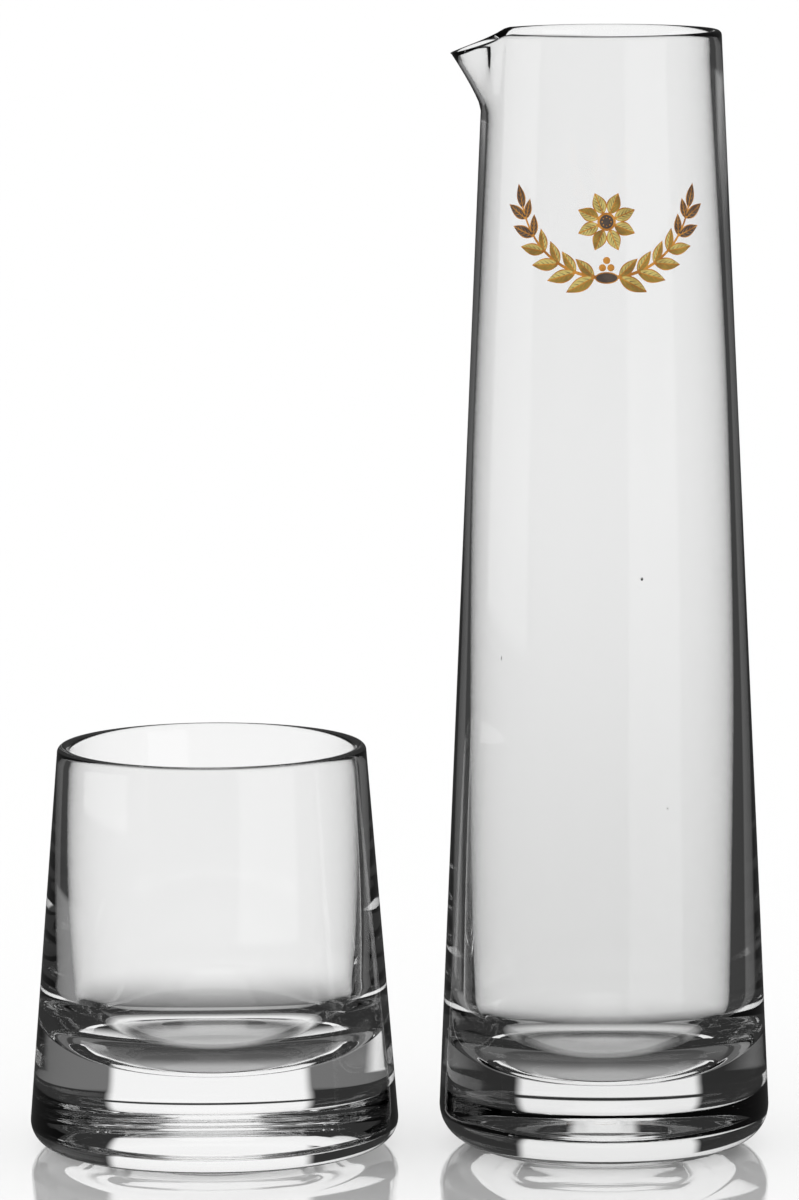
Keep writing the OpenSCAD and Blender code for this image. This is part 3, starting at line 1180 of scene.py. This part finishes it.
def weld(piece: bpy.types.Object) -> None:
    """Joins corners that lie in one place, and drops the faces that this leaves without area.

    Args:
        piece: The piece.
    """
    mesh = bmesh.new()
    mesh.from_mesh(piece.data)
    bmesh.ops.remove_doubles(mesh, verts=mesh.verts, dist=WELD_GAP)
    bmesh.ops.dissolve_degenerate(mesh, dist=SLIVER, edges=mesh.edges)
    bmesh.ops.recalc_face_normals(mesh, faces=mesh.faces)
    mesh.to_mesh(piece.data)
    mesh.free()


@dataclass(frozen=True)
class Card:
    """A white card in the dark part of the studio.

    Attributes:
        azimuth: Its middle, from +Y towards +X.
        half_w: Half of its width; 180 goes all round.
        low: Elevation of its lower edge.
        high: Elevation of its upper edge.
        level: How bright it is.
        fade: Width of its soft sides.
        edge: Softness of its upper and lower edge, as a share of the upward part of a direction.
        back_fade: How far behind its own side of the studio it fades out, as a share of a direction.
    """

    azimuth: float
    half_w: float
    low: float = -90.0
    high: float = 90.0
    level: float = 1.0
    fade: float = 4.0
    edge: float = 0.02
    back_fade: float = 0.1

    def shine(self, x: Num, y: Num, z: Num) -> Num:
        """How bright the card is in a direction.

        Args:
            x: The direction's part along +X.
            y: Its part along +Y.
            z: Its part upwards.

        Returns:
            The card's share of full white.
        """
        low, high, side, soft = (math.sin(math.radians(angle)) for angle in (
            self.low, self.high, self.half_w, self.half_w + self.fade))
        seen: Num | float = self.level
        if self.half_w < 180:
            turn = math.radians(self.azimuth)
            aside = abs(x * math.cos(turn) - y * math.sin(turn))
            ahead = x * math.sin(turn) + y * math.cos(turn)
            seen = seen * ahead.ramp(-self.back_fade, 0) * aside.ramp(soft, side)
        if self.low > -90:
            seen = seen * z.ramp(low - self.edge, low)
        if self.high < 90:
            seen = seen * z.ramp(high + self.edge, high)
        return seen


# A card's first numbers are its azimuth, half of its width, its lower and upper edge, and how bright it is.
# These cards are seen by more than one kind of ray, and are named by where they stand in the photograph.
ALL_ROUND = Card(0, 180, -19, -15.5, 0.18)
BACK_LEFT_LOW = Card(-45, 22, -34, -19)
BACK_LEFT_HIGH = Card(-45, 22, 19, 34)
LEFT = Card(-90, 21, -8, 8)
FRONT_RIGHT = Card(135, 21, -20, 20)
BACK_WALL = Card(0, 20, 0, fade=5)


class Faces(Enum):
    """How many times a ray has met glass, at least and at most, by what it came through.

    SKIN is a mirror image on an outer skin, and TANGLE has no upper end.
    """

    SKIN = (1, 1)
    SOLID = (2, 3)
    WALL = (3, 3)
    HOLLOW = (4, 4)
    PAIR = (8, 8)
    TANGLE = (4, 99)


@dataclass(frozen=True)
class Studio:
    """The white studio: an even white world, a floor, and cards that only polished glass sees.

    Attributes:
        solid_cards: The cards as they show through solid glass.
        wall_cards: The cards as they show along the thickness of a wall.
        hollow_cards: The cards as they show through both walls of a hollow.
        paired_cards: The cards as they show through the hollows of both glasses.
        tangled_cards: The cards as they show after many turns inside the glass.
        dim: Brightness between the cards, through solid glass and after many turns.
        wall_dim: That brightness through walls.
        edge_dim: Brightness that the outer skin mirrors.
        floor_r: Radius of the floor.
        floor_corners: Corners of its edge.
        floor_drop: How far the floor lies under the glasses, mm.
        mirror_share: How much of the floor's look is its gloss.
        floor_rough: Roughness of that gloss.
        shade_middle: Brightness of the painted shadow on the table under the middle of a glass, seen through
            it.
        shade_edge: Its brightness under the ring that the glass stands on.
        shade_fade: Width over which that shade ends outside the ring, mm.
    """

    solid_cards: tuple[Card, ...] = (
        Card(0, 21, 0),
        Card(0, 21, -90, -4),
        Card(180, 21, 30),
        ALL_ROUND,
        BACK_LEFT_LOW,
        BACK_LEFT_HIGH,
        LEFT,
        FRONT_RIGHT,
    )
    wall_cards: tuple[Card, ...] = (
        Card(-18, 9, level=0.16, fade=6),
        Card(18, 9, level=0.16, fade=6),
        Card(-45, 22, -34, -19, 0.3),
        LEFT,
        FRONT_RIGHT,
    )
    hollow_cards: tuple[Card, ...] = (
        Card(0, 48, -28, 0, fade=24, edge=0.44),
        Card(0, 180, -58, -54, 0.5),
        ALL_ROUND,
        BACK_LEFT_LOW,
        BACK_LEFT_HIGH,
        Card(-90, 30, -26, 8, fade=10),
        Card(90, 30, -26, 8, fade=10),
        Card(135, 30, -38, 20, fade=10),
    )
    paired_cards: tuple[Card, ...] = (
        BACK_WALL,
        Card(-90, 26, -28, 3, 0.8, fade=10),
        Card(135, 26, -36, -9, 0.8, fade=10, edge=0.06),
        Card(-45, 22, -28, -20, 0.8, fade=10, edge=0.06),
    )
    tangled_cards: tuple[Card, ...] = (
        BACK_WALL,
        Card(180, 14, 35, fade=8),
    )
    dim: float = 0.03
    wall_dim: float = 0.055
    edge_dim: float = 0.05
    floor_r: float = 14000.0
    floor_corners: int = 64
    floor_drop: float = 0.3
    mirror_share: float = 0.55
    floor_rough: float = 0.05
    shade_middle: float = 0.45
    shade_edge: float = 0.11
    shade_fade: float = 12.0

    @staticmethod
    def polished(graph: Graph) -> Num:
        """Tells rays that have met only polished glass from all others.

        Args:
            graph: The graph that asks.

        Returns:
            1 for such rays, else 0.
        """
        path = graph.node("ShaderNodeLightPath").outputs
        glossy, through = Num(graph, path["Is Glossy Ray"]), Num(graph, path["Is Transmission Ray"])
        smooth, scattered = Num(graph, path["Is Singular Ray"]), Num(graph, path["Diffuse Depth"])
        return glossy.highest(through) * smooth * (scattered < 0.5)

    def light(self) -> None:
        """Makes the world."""
        world = bpy.data.worlds.new("studio")
        world.use_nodes = True
        bpy.context.scene.world = world
        graph = Graph(world.node_tree)
        way = graph.node("ShaderNodeTexCoord").outputs["Generated"]
        x, y, z = (Num(graph, s) for s in graph.node("ShaderNodeSeparateXYZ", {}, {0: way}).outputs)
        times = Num(graph, graph.node("ShaderNodeLightPath").outputs["Ray Depth"]) - 1

        def brightest(cards: tuple[Card, ...], dim: float) -> Num | float:
            """The brightest of some cards in each direction.

            Args:
                cards: The cards.
                dim: Light between them.

            Returns:
                Its share of full white.
            """
            seen = dim
            for card in cards:
                seen = card.shine(x, y, z).highest(seen)
            return seen

        def met(faces: Faces) -> Num:
            """Returns 1 for rays that met glass so many times, else 0."""
            least, most = faces.value
            return (times < most + 0.5) * (1 - (times < least - 0.5))

        # Rays through a wall or a hollow see cards of their own only where they head down.
        wall, hollow, pair = met(Faces.WALL) * (z < 0), met(Faces.HOLLOW) * (z < 0), met(Faces.PAIR)
        kinds = ((met(Faces.SOLID) - wall, self.solid_cards, self.dim),
                 (wall, self.wall_cards, self.wall_dim),
                 (hollow, self.hollow_cards, self.wall_dim),
                 (pair, self.paired_cards, self.wall_dim),
                 (met(Faces.TANGLE) - hollow - pair, self.tangled_cards, self.dim))
        seen = met(Faces.SKIN) * self.edge_dim
        for share, cards, dim in kinds:
            seen = seen + share * brightest(cards, dim)
        strength = 1 - self.polished(graph) * (1 - seen)
        white = graph.node("ShaderNodeBackground", {}, {"Color": WHITE, "Strength": strength})
        graph.node("ShaderNodeOutputWorld", {}, {"Surface": white})
        LOG.info("studio: %d cards", sum(len(cards) for _, cards, _ in kinds))

    def shade(self, graph: Graph, glasses: tuple[TaperedGlass, ...]) -> bpy.types.Node:
        """What polished glass shows of the floor: nothing, but for a painted shadow under each foot, a patch
        that glows at a fixed brightness.

        Args:
            graph: The floor's graph.
            glasses: The glasses that stand on it.

        Returns:
            The shader.
        """
        seen = graph.node("ShaderNodeBsdfTransparent")
        place = graph.node("ShaderNodeTexCoord").outputs["Object"]
        # Painted shadow: glowing patches, brighter under the middle of a foot and darker under the ring that
        # it stands on.
        middle, edge = (graph.node("ShaderNodeEmission", {}, {"Strength": level})
                        for level in (self.shade_middle, self.shade_edge))
        for glass in glasses:
            foot = (glass.axis_x * MM, 0, -self.floor_drop * MM)
            way = graph.node("ShaderNodeVectorMath", {"operation": "DISTANCE"}, {0: place, 1: foot})
            off_axis = Num(graph, way.outputs["Value"])
            ground = graph.blend(off_axis.ramp(glass.ring_r * MM / 2, glass.ring_r * MM), middle, edge)
            under = off_axis.ramp((glass.ring_r + self.shade_fade) * MM, glass.ring_r * MM)
            seen = graph.blend(under, seen, ground)
        return seen

    def lay_floor(self, glasses: tuple[TaperedGlass, ...]) -> bpy.types.Object:
        """Makes the floor, with the glasses' shadow, their mirror image and, for polished glass, a painted
        shadow under each foot.

        Args:
            glasses: The glasses that stand on it.

        Returns:
            The floor.
        """
        material, graph = new_material("white_floor")
        plain = graph.node("ShaderNodeBsdfDiffuse", {}, {"Color": WHITE})
        gloss = graph.node("ShaderNodeBsdfAnisotropic", {}, {"Color": WHITE, "Roughness": self.floor_rough})
        look = graph.blend(self.mirror_share, plain, gloss)
        both = graph.blend(self.polished(graph), look, self.shade(graph, glasses))
        graph.node("ShaderNodeOutputMaterial", {}, {"Surface": both})
        ring = [(self.floor_r * math.cos(a), self.floor_r * math.sin(a), -self.floor_drop)
                for a in np.linspace(0, 2 * math.pi, self.floor_corners, endpoint=False)]
        floor = make_piece("floor", [(np.array(ring), [tuple(range(len(ring)))])])
        floor.data.materials.append(material)
        return floor


@dataclass(frozen=True)
class Viewpoint:
    """The camera, where the photographer's stood.

    Attributes:
        place: Its place, mm.
        pitch: How far it looks down, degrees.
        roll: How far it is turned about its own line of sight, degrees.
        focal: Focal length for the sensor's long side, mm.
    """

    place: tuple[float, float, float] = (0.57, -1750.0, 365.88)
    pitch: float = 7.579
    roll: float = -0.272
    focal: float = 219.7

    def build(self) -> bpy.types.Object:
        """Places the camera.

        Returns:
            The scene's camera.
        """
        camera = bpy.data.objects.new("camera", bpy.data.cameras.new("camera"))
        camera.data.lens = self.focal
        tilt = Matrix.Rotation(math.radians(90 - self.pitch), 4, "X")
        turn = Matrix.Rotation(math.radians(self.roll), 4, "Z")
        camera.matrix_world = Matrix.Translation(Vector(self.place) * MM) @ tilt @ turn
        bpy.context.scene.collection.objects.link(camera)
        bpy.context.scene.camera = camera
        return camera


def set_rendering() -> None:
    """Plain view transform, and enough bounces for light inside solid glass."""
    scene = bpy.context.scene
    scene.view_settings.view_transform = "Standard"
    scene.cycles.max_bounces = 40
    scene.cycles.transmission_bounces = 40
    scene.cycles.glossy_bounces = 12
    scene.cycles.transparent_max_bounces = 16


def carafe_sizes() -> Carafe:
    """The carafe, with the slow waves and the bubbles of its blown wall.

    Returns:
        The carafe, not built yet.
    """
    return Carafe(
        node="carafe_glass", body="carafe", name="carafe_blown_glass",
        rim_r=28.4, foot_round=9.0, foot_tuck=9.0, foot_slope=22.0, base_h=17.5, floor_round=20.0,
        wall_rim=2.6, wall_thin=2.0, wall_foot=7.4, thin_drop=80.0,
        cavity_shift=(-0.35, 0.0),
        outer_waves=(Wave(depth=0.015, turns=2, pitch=190.0, start=20.0),
                     Wave(depth=0.008, turns=3, pitch=94.0, start=200.0)),
        inner_waves=(Wave(depth=0.03, turns=2, pitch=170.0, start=70.0),
                     Wave(depth=0.015, turns=3, pitch=91.0, start=10.0)),
        seeds=(Seed(across=-24.4, z=122.0, depth=1.6, size=(0.12, 0.1, 0.55)),
               Seed(across=8.1, z=142.0, depth=1.4, size=(0.3, 0.2, 0.42)),
               Seed(across=14.0, z=87.0, depth=2.2, size=(0.16, 0.14, 0.2))),
    )


def tumbler_sizes() -> TaperedGlass:
    """The tumbler, with the slow waves of its wall.

    Returns:
        The tumbler, not built yet.
    """
    return TaperedGlass(
        node="tumbler_glass", body="tumbler", name="tumbler_pressed_glass",
        rim_r=37.4, foot_round=6.0, foot_tuck=16.0, foot_slope=3.0, base_h=20.5, floor_round=20.0,
        wall_rim=3.0, wall_thin=3.0, wall_foot=7.2, thin_drop=1.5,
        inner_waves=(Wave(depth=0.02, turns=2, pitch=120.0, start=40.0),),
    )


def main() -> None:
    """Builds the studio, the two glasses and the print, in that order."""
    logging.basicConfig(level=logging.INFO, format="%(name)s: %(message)s")
    set_rendering()
    Viewpoint().build()
    studio = Studio()
    carafe, tumbler = carafe_sizes(), tumbler_sizes()
    studio.light()
    studio.lay_floor((carafe, tumbler))
    carafe.build(CARAFE_FINISH.build())
    tumbler.build(TUMBLER_FINISH.build())
    wreath = Wreath(carafe)
    wreath.sprays()
    wreath.rosette()
    wreath.tie()
    for ink in Ink:
        wreath.build(ink, INK_FINISHES[ink].build())


if __name__ == "__main__":
    main()
